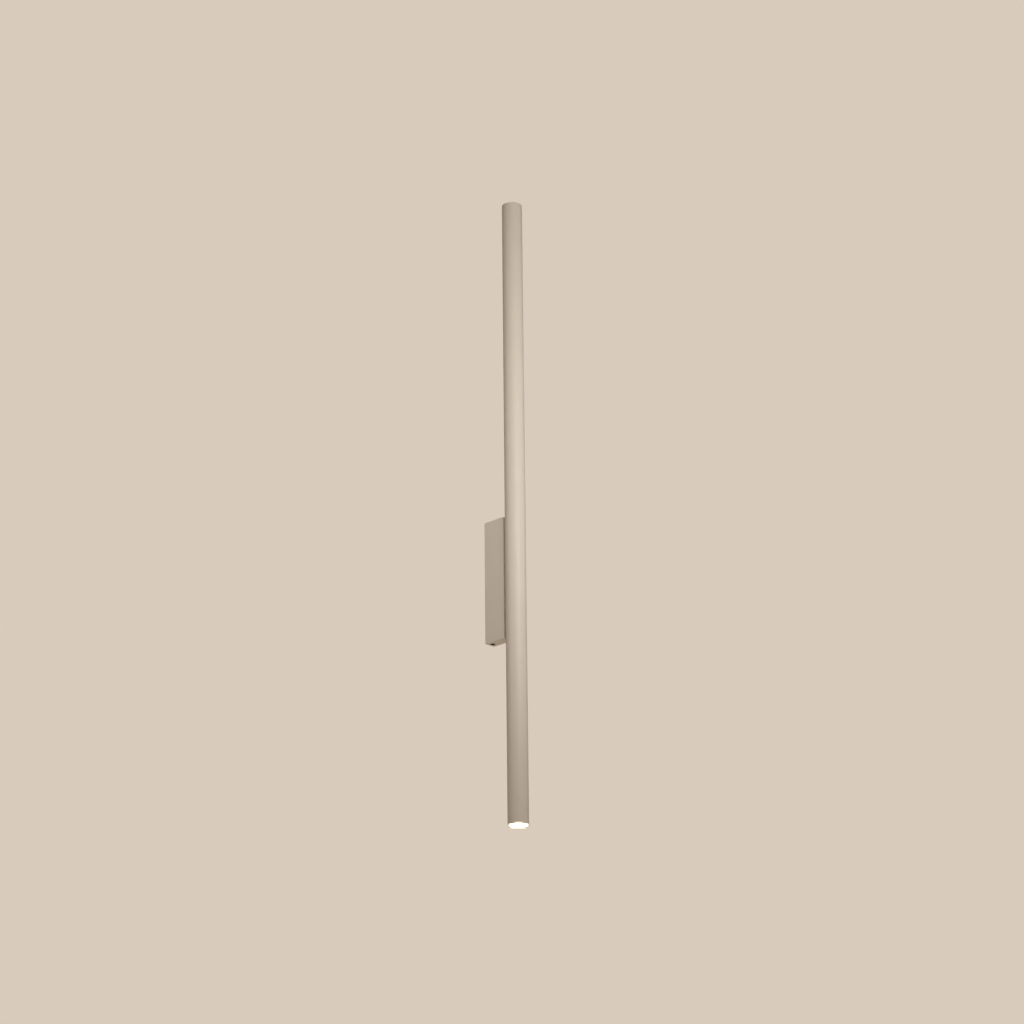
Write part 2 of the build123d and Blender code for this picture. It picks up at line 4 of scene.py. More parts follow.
import bmesh
import bpy
import numpy as np
from mathutils import Matrix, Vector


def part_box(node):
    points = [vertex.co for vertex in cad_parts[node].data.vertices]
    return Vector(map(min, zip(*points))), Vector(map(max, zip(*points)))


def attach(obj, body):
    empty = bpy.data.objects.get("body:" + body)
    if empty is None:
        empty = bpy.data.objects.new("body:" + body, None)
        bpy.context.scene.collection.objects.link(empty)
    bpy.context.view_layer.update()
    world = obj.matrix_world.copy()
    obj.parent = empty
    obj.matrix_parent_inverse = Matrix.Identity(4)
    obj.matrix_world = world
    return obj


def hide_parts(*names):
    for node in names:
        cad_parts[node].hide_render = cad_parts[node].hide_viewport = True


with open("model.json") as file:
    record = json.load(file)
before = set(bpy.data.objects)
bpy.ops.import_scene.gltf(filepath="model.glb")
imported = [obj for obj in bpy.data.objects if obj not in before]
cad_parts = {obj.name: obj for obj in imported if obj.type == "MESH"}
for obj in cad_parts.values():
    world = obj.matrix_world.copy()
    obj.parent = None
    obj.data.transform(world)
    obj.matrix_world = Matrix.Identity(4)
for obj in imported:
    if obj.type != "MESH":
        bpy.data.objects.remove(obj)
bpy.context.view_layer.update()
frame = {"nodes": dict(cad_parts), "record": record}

# Tube wall light: a slim upright tube with a lamp in each end, on a flat housing that hangs on a wall plate.
# X runs along the wall, Y into the wall and Z up, in metres. The wall is the plane Y = 0.

# ---- Camera ----
# It stands well to one side of the light and below it, far off behind a long lens, and looks up at it.
# Turn is measured from square-on to the wall, rise is the slope of its line of sight, and roll is its lean.
# Its lens and film are in millimetres. The offsets shift what it looks at across and up the picture.
turn, rise, roll = (math.radians(angle) for angle in (46.9, 21.45, -0.58))
distance, focal_length, film_width = 4.6, 112.8, 36.0
aim_depth, offset_right, offset_up = 0.040, 0.0054, 0.0948

sideways = np.array([math.cos(turn), -math.sin(turn), 0])
forward = np.array([math.sin(turn) * math.cos(rise), math.cos(turn) * math.cos(rise), math.sin(rise)])
upright = np.cross(sideways, forward)
looked_at = np.array([0, -aim_depth, 0]) + offset_right * sideways + offset_up * upright
picture_right = math.cos(roll) * sideways + math.sin(roll) * upright
picture_up = math.cos(roll) * upright - math.sin(roll) * sideways

camera = bpy.data.objects.new("camera", bpy.data.cameras.new("camera"))
camera.data.lens = focal_length
camera.data.sensor_width = film_width
stance = np.eye(4)
stance[:3] = np.column_stack([picture_right, picture_up, -forward, looked_at - distance * forward])
camera.matrix_world = Matrix(stance.tolist())
bpy.context.scene.collection.objects.link(camera)
bpy.context.scene.camera = camera
bpy.context.scene.view_settings.view_transform = "Standard"

# ---- Studio ----
# A warm surround and a plain floor far below, both seen in one pale tone that is lighter than the light they
# give, with four soft boxes round the tube and a wide soft light overhead.


def linear(code):
    """An sRGB colour written as #rrggbb, as linear red, green, blue and alpha.

    Each channel is divided by 12.92 near black, and follows a power of 2.4 above it.
    """
    channels = np.array([int(code[i:i + 2], 16) for i in (1, 3, 5)]) / 255
    curve = np.where(channels < 0.04045, channels / 12.92, ((channels + 0.055) / 1.055) ** 2.4)
    return (*curve.tolist(), 1.0)


def add(tree, kind, sockets=(), **settings):
    """Adds a node. Settings are its own, and sockets gives inputs a value or the output that feeds them."""
    node = tree.nodes.new("ShaderNode" + kind)
    for name, value in settings.items():
        setattr(node, name, value)
    for socket, value in dict(sockets).items():
        if isinstance(value, bpy.types.NodeSocket):
            tree.links.new(value, node.inputs[socket])
        else:
            node.inputs[socket].default_value = value
    return node


def cleared(made):
    """The node tree of a new world or material, emptied."""
    made.use_nodes = True
    made.node_tree.nodes.clear()
    return made.node_tree


def seen_or_felt(tree, seen, felt):
    """Seen is what the camera itself meets, and felt is what every other ray of light meets."""
    direct = add(tree, "LightPath").outputs["Is Camera Ray"]
    return add(tree, "MixShader", {0: direct, 1: felt.outputs[0], 2: seen.outputs[0]}).outputs[0]


seen_tone, felt_tone = "#d8cbbc", "#65594e"
surround = bpy.data.worlds.new("surround")
studio = cleared(surround)
pale = add(studio, "Background", {"Color": linear(seen_tone)})
dim = add(studio, "Background", {"Color": linear(felt_tone)})
add(studio, "OutputWorld", {"Surface": seen_or_felt(studio, pale, dim)})
bpy.context.scene.world = surround

# Each box has a place and its watts, and faces the upright line lit_depth in front of the wall's middle.
box_size, tint, lit_depth = 0.4, linear("#fff8f2")[:3], 0.05
boxes = {
    "main": (-0.22, -0.62, 0.13, 1.89),
    "upper": (-0.22, -0.62, 0.45, 0.63),
    "side": (-0.60, 0.12, 0.13, 0.53),
    "fill": (0.40, -0.60, 0.13, 0.49),
}
for name, (x, y, z, watts) in boxes.items():
    box = bpy.data.lights.new(name, "AREA")
    box.energy, box.size, box.color = watts, box_size, tint
    beam = np.array([-x, -lit_depth - y, 0]) / math.hypot(x, lit_depth + y)
    across_beam = np.cross(beam, [0, 0, 1])
    stance[:3] = np.column_stack([across_beam, np.cross(across_beam, beam), -beam, [x, y, z]])
    stand = bpy.data.objects.new(name, box)
    stand.matrix_world = Matrix(stance.tolist())
    bpy.context.scene.collection.objects.link(stand)

overhead = bpy.data.lights.new("overhead", "SUN")
overhead.energy, overhead.angle, overhead.color = 1.13, math.radians(12), tint
bpy.context.scene.collection.objects.link(bpy.data.objects.new("overhead", overhead))

# The floor is painted matt. It lies so far down that no view of the light from below meets it.
floor_drop, floor_reach = 6.0, 160.0
floor_mesh = bpy.data.meshes.new("floor")
floor_corners = [(-1, -1), (1, -1), (1, 1), (-1, 1)]
floor_points = [(x * floor_reach, y * floor_reach, -floor_drop) for x, y in floor_corners]
floor_mesh.from_pydata(floor_points, [], [(0, 1, 2, 3)])
floor = bpy.data.objects.new("floor", floor_mesh)
floor_paint = bpy.data.materials.new("matt_floor_paint")
paint = cleared(floor_paint)
lit_paint = add(paint, "BsdfPrincipled", {"Base Color": linear("#f0e7db"), "Roughness": 0.9})
seen_paint = add(paint, "Emission", {"Color": linear(seen_tone)})
add(paint, "OutputMaterial", {"Surface": seen_or_felt(paint, seen_paint, lit_paint)})
floor_mesh.materials.append(floor_paint)
bpy.context.scene.collection.objects.link(floor)

# ---- Wall plate ----
# A steel strip, punched, bent forward to a tab at each end and bright zinc plated. Two wall screws hold it
# by its upright slots, and the supply cable comes through its round hole.
mm = 0.001
crisp, bevelled = math.radians(35), math.radians(40)
body_of = {node: body for body, nodes in frame["record"]["behaviour"]["bodies"].items() for node in nodes}


def extent(node):
    """A CAD node's lowest corner, highest corner and middle, at rest."""
    low, high = (np.array(corner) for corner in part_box(node))
    return low, high, (low + high) / 2


def skin(rows, closed=False):
    """Rows of points, each one closed loop, joined by quads from row to row.

    The first and last rows get a flat face each, or with closed they are joined to each other.
    """
    rows = np.asarray(rows, float)
    count, columns = rows.shape[:2]
    corner = np.arange(count * columns).reshape(count, columns)
    path = np.vstack([corner, corner[:1]]) if closed else corner
    beside = np.roll(path, -1, axis=1)
    faces = np.stack([path[:-1], beside[:-1], beside[1:], path[1:]], axis=-1).reshape(-1, 4).tolist()
    if not closed:
        faces += [corner[0].tolist(), corner[-1].tolist()]
    return rows.reshape(-1, 3), faces


def placed(shell, origin, along, across=(1, 0, 0)):
    """A shell moved so that its own Z runs along, its own X runs across, and its origin lies at origin."""
    points, faces = shell
    axes = np.array([across, np.cross(along, across), along], float)
    return points @ axes + np.asarray(origin), faces


def joined(name, shells):
    """One object from closed shells, with every face turned outwards."""
    points, faces, start = [], [], 0
    for shell_points, shell_faces in shells:
        points.append(shell_points)
        faces += [[corner + start for corner in face] for face in shell_faces]
        start += len(shell_points)
    mesh = bpy.data.meshes.new(name)
    mesh.from_pydata(np.vstack(points).tolist(), [], faces)
    form = bmesh.new()
    form.from_mesh(mesh)
    bmesh.ops.recalc_face_normals(form, faces=form.faces)
    form.to_mesh(mesh)
    form.free()
    made = bpy.data.objects.new(name, mesh)
    bpy.context.scene.collection.objects.link(made)
    return made


def piece(name, node, material, shells, holes=(), edge=0.0):
    """A finished piece in a CAD node's stead: it rides on that node's body, and the node is hidden.

    Holes are shells that are cut away. Edges that turn by more than bevelled are rounded back by edge, and
    those that still turn by more than crisp are shaded as corners.
    """
    made = joined(name, shells)
    drills = [joined(name + "_drill", [hole]) for hole in holes]
    for drill in drills:
        cut = made.modifiers.new("hole", "BOOLEAN")
        cut.object, cut.use_self = drill, len(shells) > 1
    if edge:
        broken = made.modifiers.new("edges", "BEVEL")
        broken.width, broken.segments, broken.angle_limit = edge, 2, bevelled
    if holes or edge:
        result = made.evaluated_get(bpy.context.evaluated_depsgraph_get())
        made.data = bpy.data.meshes.new_from_object(result)
        made.modifiers.clear()
    for drill in drills:
        bpy.data.objects.remove(drill)
    form = bmesh.new()
    form.from_mesh(made.data)
    for face in form.faces:
        face.smooth = True
    for seam in form.edges:
        seam.smooth = seam.calc_face_angle(0) < crisp
    form.to_mesh(made.data)
    form.free()
    made.data.materials.clear()
    made.data.materials.append(material)
    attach(made, body_of[node])
    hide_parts(node)
    return made


def rounded(half_width, half_height, radius, steps=5):
    """A rectangle's outline with a quarter circle at each corner, as rows of across and up."""
    angle = np.linspace(0, math.pi / 2, steps + 1) + math.pi / 2 * np.arange(4)[:, None]
    centre = np.array([(1, 1), (-1, 1), (-1, -1), (1, -1)]) * (half_width - radius, half_height - radius)
    arc = radius * np.stack([np.cos(angle), np.sin(angle)], axis=-1)
    return (centre[:, None] + arc).reshape(-1, 2)


def raised(outlines, heights):
    """Flat outlines stacked up the Z axis, one at each height."""
    levels = zip(outlines, heights)
    return skin([np.column_stack([outline, np.full(len(outline), z)]) for outline, z in levels])


def around(columns):
    """Equal angles round a full turn."""
    return np.linspace(0, 2 * math.pi, columns, endpoint=False)


def turned(profile, columns=96, closed=False):
    """A profile of (radius, height) turned about the Z axis. Either may differ from angle to angle."""
    x, y, z = np.cos(around(columns)), np.sin(around(columns)), np.ones(columns)
    return skin([np.column_stack([radius * x, radius * y, height * z]) for radius, height in profile], closed)


def ramp(tree, value, start, end, first, last):
    """A value that runs from first to last while another runs from start to end."""
    return add(tree, "MapRange", {0: value, 1: start, 2: end, 3: first, 4: last}).outputs[0]


def finish(name, colour, second, patch, grain, relief, roughness, spread=0.05, drawn=(1, 1, 1), shader=()):
    """A surface in two tones that mix in soft patches, with a fine relief that varies the gloss as well.

    Patch and grain are their sizes and relief is the grain's height, all in millimetres. Drawn is the grain's
    scale along each axis.
    """
    material = bpy.data.materials.new(name)
    tree = cleared(material)
    place = add(tree, "TexCoord").outputs["Object"]
    pulled = add(tree, "Mapping", {"Vector": place, "Scale": drawn}).outputs["Vector"]
    clouds = add(tree, "TexNoise", {"Vector": place, "Scale": 1 / (patch * mm), "Detail": 3.0}).outputs["Fac"]
    fine = add(tree, "TexNoise", {"Vector": pulled, "Scale": 1 / (grain * mm), "Detail": 2.0}).outputs["Fac"]
    tones = {0: clouds, 6: linear(colour), 7: linear(second)}
    tone = add(tree, "Mix", tones, data_type="RGBA").outputs[2]
    gloss = ramp(tree, fine, 0.0, 1.0, roughness - spread, roughness + spread)
    bumps = add(tree, "Bump", {"Height": fine, "Distance": relief * mm, "Strength": 1.0}).outputs[0]
    sockets = {"Base Color": tone, "Roughness": gloss, "Normal": bumps, **dict(shader)}
    surface = add(tree, "BsdfPrincipled", sockets)
    add(tree, "OutputMaterial", {"Surface": surface.outputs[0]})
    return material


metal = {"Metallic": 1.0}

# Zinc plate over rolled steel: a bluish silver with the strip's rolling lines showing faintly up its length,
# cloudy where the plating bath left it. The rolling lines are 0.3 mm apart.
zinc_plate = finish(
    "zinc_plated_steel", "#c9ccd1", "#aeb4bd", 7, 0.3, 0.003, 0.33, 0.09, (1, 1, 0.06), metal
)
plate_low, plate_high, _ = extent("wall_plate")
plate_thick, plate_bend, tab_corner, plate_burr = 1.5 * mm, 1.0 * mm, 2.0 * mm, 0.15 * mm
slot_width, slot_length, slot_height = 4.5 * mm, 10 * mm, 60 * mm
cable_hole, cable_drop = 11 * mm, 25 * mm
tab_steps, bend_steps = 8, 9

# The strip is a flat section carried along its middle line: in along the upper tab, round a bend, down the
# wall, round the other bend and out along the lower tab. Each tab's end narrows by a quarter circle.
narrowing = np.linspace(0, math.pi / 2, tab_steps)
tab_y = plate_low[1] + tab_corner * (1 - np.cos(narrowing))
tab_half = plate_high[0] - tab_corner * (1 - np.sin(narrowing))
bend_in = np.linspace(math.pi / 2, 0, bend_steps)
bend_y = -plate_bend - plate_thick
bend_line = plate_bend + plate_thick / 2
upper_z = plate_high[2] + bend_y + bend_line * np.sin(bend_in)
lower_z = plate_low[2] - bend_y - bend_line * np.sin(bend_in)
on_tab = np.ones(tab_steps)
facing = np.concatenate([on_tab * math.pi / 2, bend_in, -bend_in[::-1], -on_tab * math.pi / 2])
strip_y = np.concatenate([tab_y, bend_y + bend_line * np.cos(bend_in)])
strip_y = np.concatenate([strip_y, strip_y[::-1]])
strip_z = np.concatenate([on_tab * upper_z[0], upper_z, lower_z[::-1], on_tab * lower_z[0]])
strip_half = np.concatenate([tab_half, np.full(2 * bend_steps, plate_high[0]), tab_half[::-1]])
strip_rows = []
for y, z, half, angle in zip(strip_y, strip_z, strip_half, facing):
    across, thick = rounded(half, plate_thick / 2, plate_burr).T
    strip_rows.append(np.column_stack([across, y + thick * math.cos(angle), z + thick * math.sin(angle)]))

slot_round = 0.999 * slot_width / 2  # a hair short of half the width, so that no two points meet
slot_outline = rounded(slot_width / 2, slot_length / 2, slot_round, 12)
slot_shell = raised([slot_outline] * 2, [-plate_thick, 2 * plate_thick])
cable_shell = turned([(cable_hole / 2, -plate_thick), (cable_hole / 2, 2 * plate_thick)])
out_of_wall = (0, -1, 0)
plate_holes = [
    placed(shell, (0, 0, z), out_of_wall)
    for shell, z in ((slot_shell, slot_height), (slot_shell, -slot_height), (cable_shell, -cable_drop))
]
piece("bent_wall_plate", "wall_plate", zinc_plate, [skin(strip_rows)], plate_holes, plate_burr)

# ---- Cable grommet in the wall plate ----
# A moulded black rubber bush with a rounded lip, pressed into the cable hole so that the sheet's edge can't
# cut the supply cable.


def softened(corners, radius, steps=4, closed=True):
    """An outline with its corners rounded. An open outline keeps its two end points.

    Each corner becomes a parabola that leaves its sides at radius from it, or at 0.45 of a short side.
    """
    corners = np.asarray(corners, float)
    share = np.linspace(0, 1, steps + 1)[None, :, None]
    inner = corners if closed else corners[1:-1]
    before = np.roll(corners, 1, axis=0) if closed else corners[:-2]
    after = np.roll(corners, -1, axis=0) if closed else corners[2:]
    leave, reach = before - inner, after - inner
    leave = inner + leave * np.minimum(radius / np.linalg.norm(leave, axis=1), 0.45)[:, None]
    reach = inner + reach * np.minimum(radius / np.linalg.norm(reach, axis=1), 0.45)[:, None]
    curve = (1 - share) ** 2 * leave[:, None] + 2 * share * (1 - share) * inner[:, None]
    curve = (curve + share ** 2 * reach[:, None]).reshape(-1, corners.shape[1])
    return curve if closed else np.vstack([corners[:1], curve, corners[-1:]])


# EPDM rubber, moulded: near black, dull, with a faint bloom in patches of about 3 mm.
rubber = finish(
    "moulded_rubber", "#1b1b1c", "#262628", 3, 0.25, 0.01, 0.62, 0.08, shader={"Specular IOR Level": 0.4}
)


flange_thick = 1.2 * mm


def bush(neck, passage, flange, neck_long):
    """A ring turned from one closed outline: a plain neck below Z = 0, and a full round lip above it."""
    outline = [
        (passage, -neck_long), (neck, -neck_long), (neck, 0), (flange, 0),
        (flange, flange_thick), (passage, flange_thick),
    ]
    return turned(softened(outline, 0.45 * flange_thick, 6), closed=True)


entry_low, entry_high, entry_middle = extent("entry_grommet")
entry_passage, fit = 8.5 * mm, 0.05 * mm
entry_neck_long = entry_high[1] - entry_low[1] - flange_thick
entry_bush = bush(cable_hole / 2 - fit, entry_passage / 2, entry_high[0], entry_neck_long)
entry_seat = (0, entry_low[1] + flange_thick, entry_middle[2])
piece("moulded_entry_grommet", "entry_grommet", rubber, [placed(entry_bush, entry_seat, out_of_wall)])

# ---- Housing ----
# A narrow deep box of 1.5 mm metal, open to the wall, with the same coat as the tube. Its front wall has two
# screw holes and the leads' hole, and its underside has the hole for the lock screw.

# Polyester powder coat, stoved: a warm white satin with the faint orange peel of cured powder. The real peel
# is about 0.4 mm across, and is drawn at 1.2 mm so that it shows.
powder_coat = finish(
    "polyester_powder_coat", "#e8e3da", "#e3ddd3", 60, 1.2, 0.012, 0.40, shader={"Specular IOR Level": 0.45}
)
housing_low, housing_high, _ = extent("housing")
housing_wall, outer_round, inner_round, rim_break = 1.5 * mm, 0.4 * mm, 0.5 * mm, 0.15 * mm
front_depth, rim_depth = -housing_low[1], -housing_high[1]

# Rows of how far the sides are drawn in, the corners' radius and the depth from the wall. They run from the
# front's inside to the rim, over it, along the outside, and round on to the front.
housing_rows = [
    (housing_wall, inner_round, front_depth - housing_wall),
    (housing_wall, inner_round, rim_depth + rim_break),
    (housing_wall - rim_break, inner_round + rim_break, rim_depth),
    (rim_break, outer_round - rim_break, rim_depth), (0, outer_round, rim_depth + rim_break),
]
for angle in np.linspace(0, math.pi / 2, 6):
    gone, left = outer_round * (1 - math.cos(angle)), outer_round * math.cos(angle)
    housing_rows.append((gone, left + fit, front_depth - outer_round * (1 - math.sin(angle))))
housing_shell = raised(
    [rounded(housing_high[0] - inset, housing_high[2] - inset, radius) for inset, radius, _ in housing_rows],
    [depth for _, _, depth in housing_rows],
)

_, _, grommet_middle = extent("tube_grommet")
screws_low, screws_high, _ = extent("fixing_screws")
fixing_head, fixing_hole, lead_hole, lock_hole, lock_setback = 7 * mm, 4.4 * mm, 8.2 * mm, 7 * mm, 7.5 * mm
fixing_heights = (screws_low[2] + fixing_head / 2, screws_high[2] - fixing_head / 2)


def drilled(diameter, start, end, origin, along):
    """The round bar that a drill clears, from start to end along its own axis."""
    return placed(turned([(diameter / 2, start), (diameter / 2, end)]), origin, along)


downwards = (0, 0, -1)
front_wall = (front_depth - 2 * housing_wall, front_depth + housing_wall)
housing_holes = [drilled(fixing_hole, *front_wall, (0, 0, z), out_of_wall) for z in fixing_heights]
housing_holes += [
    drilled(lead_hole, *front_wall, (0, 0, grommet_middle[2]), out_of_wall),
    drilled(lock_hole, -2 * housing_wall, housing_wall, (0, -lock_setback, housing_low[2]), downwards),
]
housing_shell = placed(housing_shell, (0, 0, 0), out_of_wall)
coated_housing = piece("coated_housing", "housing", powder_coat, [housing_shell], housing_holes)

# Painted shade on the lock screw's hole: its wall is given a dull dark brown, so that the hole reads as
# black, as a deep recess in shadow does.
# The wall is the upright faces near the hole's axis.
hole_shade_paint = finish("hole_wall_painted_shade", "#3b3128", "#2e2722", 2, 0.1, 0.004, 0.6)
coated_housing.data.materials.append(hole_shade_paint)
housing_faces = coated_housing.data.polygons
face_middles, face_normals = np.empty((2, len(housing_faces), 3))
housing_faces.foreach_get("center", face_middles.ravel())
housing_faces.foreach_get("normal", face_normals.ravel())
from_lock = np.hypot(face_middles[:, 0], face_middles[:, 1] + lock_setback)
painted_shade_faces = (from_lock < lock_hole / 2 + fit) & (np.abs(face_normals[:, 2]) < 0.5)
housing_faces.foreach_set("material_index", painted_shade_faces.astype(np.int32))

# ---- Lock block and lock screw ----
# A threaded steel block on the housing's floor, and a blackened socket screw in it. Its coned tip presses up
# on the wall plate's lower tab, and its socket is reached through the hole in the underside.


def dress(material, *nodes):
    """Gives its finish to a CAD node whose shape is right as it is."""
    for node in nodes:
        for place in frame["nodes"][node].material_slots:
            place.link, place.material = "OBJECT", material


def hexagon(angle, flats):
    """Distance from the middle to the side of a hexagon, towards each angle."""
    return flats / 2 / np.cos(np.mod(angle, math.pi / 3) - math.pi / 6)


def bar(angle, half_length, half_width):
    """Distance from the middle to the side of a rectangle, towards each angle."""
    along_x, along_y = np.maximum(abs(np.cos(angle)), 1e-6), np.maximum(abs(np.sin(angle)), 1e-6)
    return np.minimum(half_length / along_x, half_width / along_y)


def cross(angle, half_length, half_width):
    """Distance from the middle to the side of a cross, towards each angle."""
    return np.maximum(bar(angle, half_length, half_width), bar(angle + math.pi / 2, half_length, half_width))


# Coarse metric threads: diameter and pitch. The ridge's height and the rows drawn are for one pitch.
m25, m3, m4, m5 = (2.5 * mm, 0.45 * mm), (3 * mm, 0.5 * mm), (4 * mm, 0.7 * mm), (5 * mm, 0.8 * mm)
thread_high, thread_rows = 0.54, 8


def thread(angle, radius, pitch, start, end):
    """Rows of (radius, height) up a thread: a ridge that climbs by a pitch a turn and fades out at both ends.

    The ridge is a triangle wave of height over pitch less the share of a turn.
    """
    crest = thread_high * pitch
    heights = np.arange(start, end, pitch / thread_rows)
    rows = []
    for height in heights:
        wave = abs(2 * np.mod(height / pitch - angle / (2 * math.pi), 1) - 1)
        fade = min(1, (height - start) / pitch, (end - height) / pitch)
        rows.append((radius - crest * (1 - wave * fade), height))
    return rows


columns = 72
round_angle = around(columns)


def screw(size, length, head=(), recess=None, recess_depth=0.0, cone=0.0):
    """A screw up the Z axis, tip down, with its seat at Z = 0: tip, thread, head outline and driver's recess.

    The tip narrows over its cone, or over 0.3 of a pitch. The recess is flared at its mouth and pointed at
    its floor, as its punch leaves it.
    """
    diameter, pitch = size
    radius = (diameter - 2 * fit) / 2
    core = radius - thread_high * pitch
    tip = max(cone, 0.3 * pitch)
    rows = [(core - tip, -length), (core, -length + tip)]
    rows += thread(round_angle, radius, pitch, -length + tip + pitch / thread_rows, -pitch / 4)
    rows += list(head) or [(core, -0.3 * pitch), (core, -pitch / 8), (core - 0.2 * pitch, 0)]
    top = rows[-1][1]
    if recess is not None:
        rows += [(recess * 1.06, top), (recess, top - 0.06 * recess_depth), (recess, top - recess_depth)]
        rows.append((recess * 0.1, top - 1.25 * recess_depth))
    return turned(rows, columns)


# Black oxide on hardened steel: a blue-black satin with a trace of oil that makes its gloss uneven.
black_oxide = finish(
    "black_oxide_steel", "#26272a", "#1c1d20", 2, 0.12, 0.004, 0.36, 0.1, shader={"Metallic": 0.85}
)
# Zinc plate, passivated black: a soft grey-black, so that the hole over the block stays dark.
black_zinc = finish(
    "black_zinc_plated_steel", "#2c2d2e", "#232425", 7, 0.3, 0.003, 0.4, 0.09, (1, 1, 0.06), metal
)
dress(black_zinc, "lock_block")
lock_low, lock_high, lock_middle = extent("lock_screw")
lock_socket, lock_socket_depth, lock_cone = hexagon(round_angle, 2.5 * mm), 2.5 * mm, 5 * mm / 6
lock_shell = screw(
    m5, lock_high[2] - lock_low[2], recess=lock_socket, recess_depth=lock_socket_depth, cone=lock_cone
)
lock_head = (lock_middle[0], lock_middle[1], lock_low[2])
piece("black_lock_screw", "lock_screw", black_oxide, [placed(lock_shell, lock_head, downwards)])

# ---- Terminal block ----
# A two-pole block moulded in white polyamide, with brass barrels and zinc plated clamping screws, held by a
# nut on a stud that is welded to the housing's front wall.

# Glass-filled polyamide, moulded: an off-white that is faintly cloudy and dull. A little light enters it.
polyamide = finish(
    "moulded_polyamide", "#e9e7de", "#dfdcd0", 5, 0.2, 0.006, 0.5,
    shader={
        "Subsurface Weight": 0.1, "Subsurface Scale": 1.0,
        "Subsurface Radius": (0.6 * mm, 0.5 * mm, 0.4 * mm),
    },
)
# Turned brass: yellow, with the lathe's fine rings showing in its gloss.
brass = finish("turned_brass", "#c9a45c", "#b8924a", 3, 0.1, 0.003, 0.28, 0.08, (1, 1, 4), metal)
dress(brass, "terminal_barrels")

inwards, upwards = (0, 1, 0), (0, 0, 1)
front_inside = housing_low[1] + housing_wall
stud_base, stud_base_thick = 3.5 * mm, 0.8 * mm
block_low, block_high, _ = extent("terminal_block")
tower_high, tower_out, well, barrel_hole, barrel_setback = 2.5 * mm, 3 * mm, 1.8 * mm, 2.35 * mm, 9.5 * mm
pole_slot, ear_long, ear_thick, stud_hole, moulded_edge = 1.0 * mm, 7 * mm, 3 * mm, 3.4 * mm, 0.25 * mm
block_rear, block_top, ear_top = block_high[1] - tower_high, block_high[2], block_low[2] + ear_long
ear_front = front_inside + stud_base_thick
pole_x, barrel_y = block_high[0] / 2, front_inside + barrel_setback
clamp_z, ear_middle = (ear_top + block_top) / 2, block_low[2] + ear_long / 2

# Seen from the side, the block is one outline: a thin ear at the foot, then the full depth above it.
block_outline = np.array([
    (ear_front, block_low[2]), (ear_front + ear_thick, block_low[2]), (ear_front + ear_thick, ear_top),
    (block_rear, ear_top), (block_rear, block_top), (block_low[1], block_top), (block_low[1], ear_top),
    (ear_front, ear_top),
])
block_shell = raised([block_outline] * 2, [-block_high[0], block_high[0]])
block_shells = [placed(block_shell, (0, 0, 0), along=(1, 0, 0), across=(0, 1, 0))]
tower = [(well + fit, -fit), (tower_out, -fit), (tower_out, tower_high), (well + fit, tower_high)]
tower_shell = turned(softened(tower, moulded_edge), 48, closed=True)
groove_shell = raised([rounded(pole_slot / 2, block_top - ear_top, fit)] * 2, [0, 3 * pole_slot])
block_holes = [
    placed(groove_shell, (0, block_rear - 2 * pole_slot, clamp_z), inwards),
    drilled(stud_hole, 0, 2 * ear_thick, (0, ear_front - ear_thick / 2, ear_middle), inwards),
]
for x in (-pole_x, pole_x):
    block_shells.append(placed(tower_shell, (x, block_rear, clamp_z), inwards))
    block_holes += [
        drilled(2 * barrel_hole, ear_top - tower_high, block_top + tower_high, (x, barrel_y, 0), upwards),
        drilled(2 * well, 0, tower_high + block_rear - barrel_y, (x, barrel_y, clamp_z), inwards),
    ]
piece("moulded_terminal_block", "terminal_block", polyamide, block_shells, block_holes, moulded_edge)


def standing(shell, node):
    """A shell stood on a CAD node's front side, pointing at the wall."""
    low, _, middle = extent(node)
    return placed(shell, (middle[0], low[1], middle[2]), inwards)


def stud(node, size):
    """A zinc plated stud whose flange is welded to the housing's front wall."""
    low, high, _ = extent(node)
    centre, burr = 0.01 * mm, 0.15 * mm
    flange = [(centre, 0), (stud_base, 0), (stud_base, stud_base_thick), (centre, stud_base_thick)]
    shank = placed(screw(size, high[1] - low[1] - stud_base_thick), (0, 0, stud_base_thick), downwards)
    shells = [turned(softened(flange, burr), closed=True), shank]
    piece("zinc_" + node, node, zinc_plate, [standing(shell, node) for shell in shells])


def nut(node, flats, size):
    """A zinc plated hexagon nut: a cone cuts the hexagon back at both faces, and the bore is threaded.

    The cone starts at 0.97 of half the flats and widens by 1.7 times the depth.
    """
    low, high, _ = extent(node)
    thick = high[1] - low[1]
    heights = np.array([0, 0.08, 0.16, 0.5, 0.84, 0.92, 1]) * thick
    cone = flats / 2 * 0.97 + 1.7 * np.minimum(heights, thick - heights)
    outside = [(np.minimum(hexagon(round_angle, flats), limit), z) for limit, z in zip(cone, heights)]
    diameter, pitch = size
    bore, depth, mouth = diameter / 2, thread_high * pitch * 0.9, diameter / 2 + 0.1 * mm
    inside = [(2 * bore - radius - depth, z) for radius, z in thread(round_angle, bore, pitch, 0, thick)]
    rows = [*outside, (mouth, thick), *inside[::-1], (mouth, 0)]
    piece("zinc_" + node, node, zinc_plate, [standing(turned(rows, columns, closed=True), node)])


stud("terminal_stud", m3)
nut("terminal_nut", 5.5 * mm, m3)


def low_head(foot, side, top, high, softness):
    """The outline of a low round head: out from its foot, up its side and in over its flat top."""
    return softened([(foot, 0), (side, 0), (side, high), (top, high)], softness, closed=False)


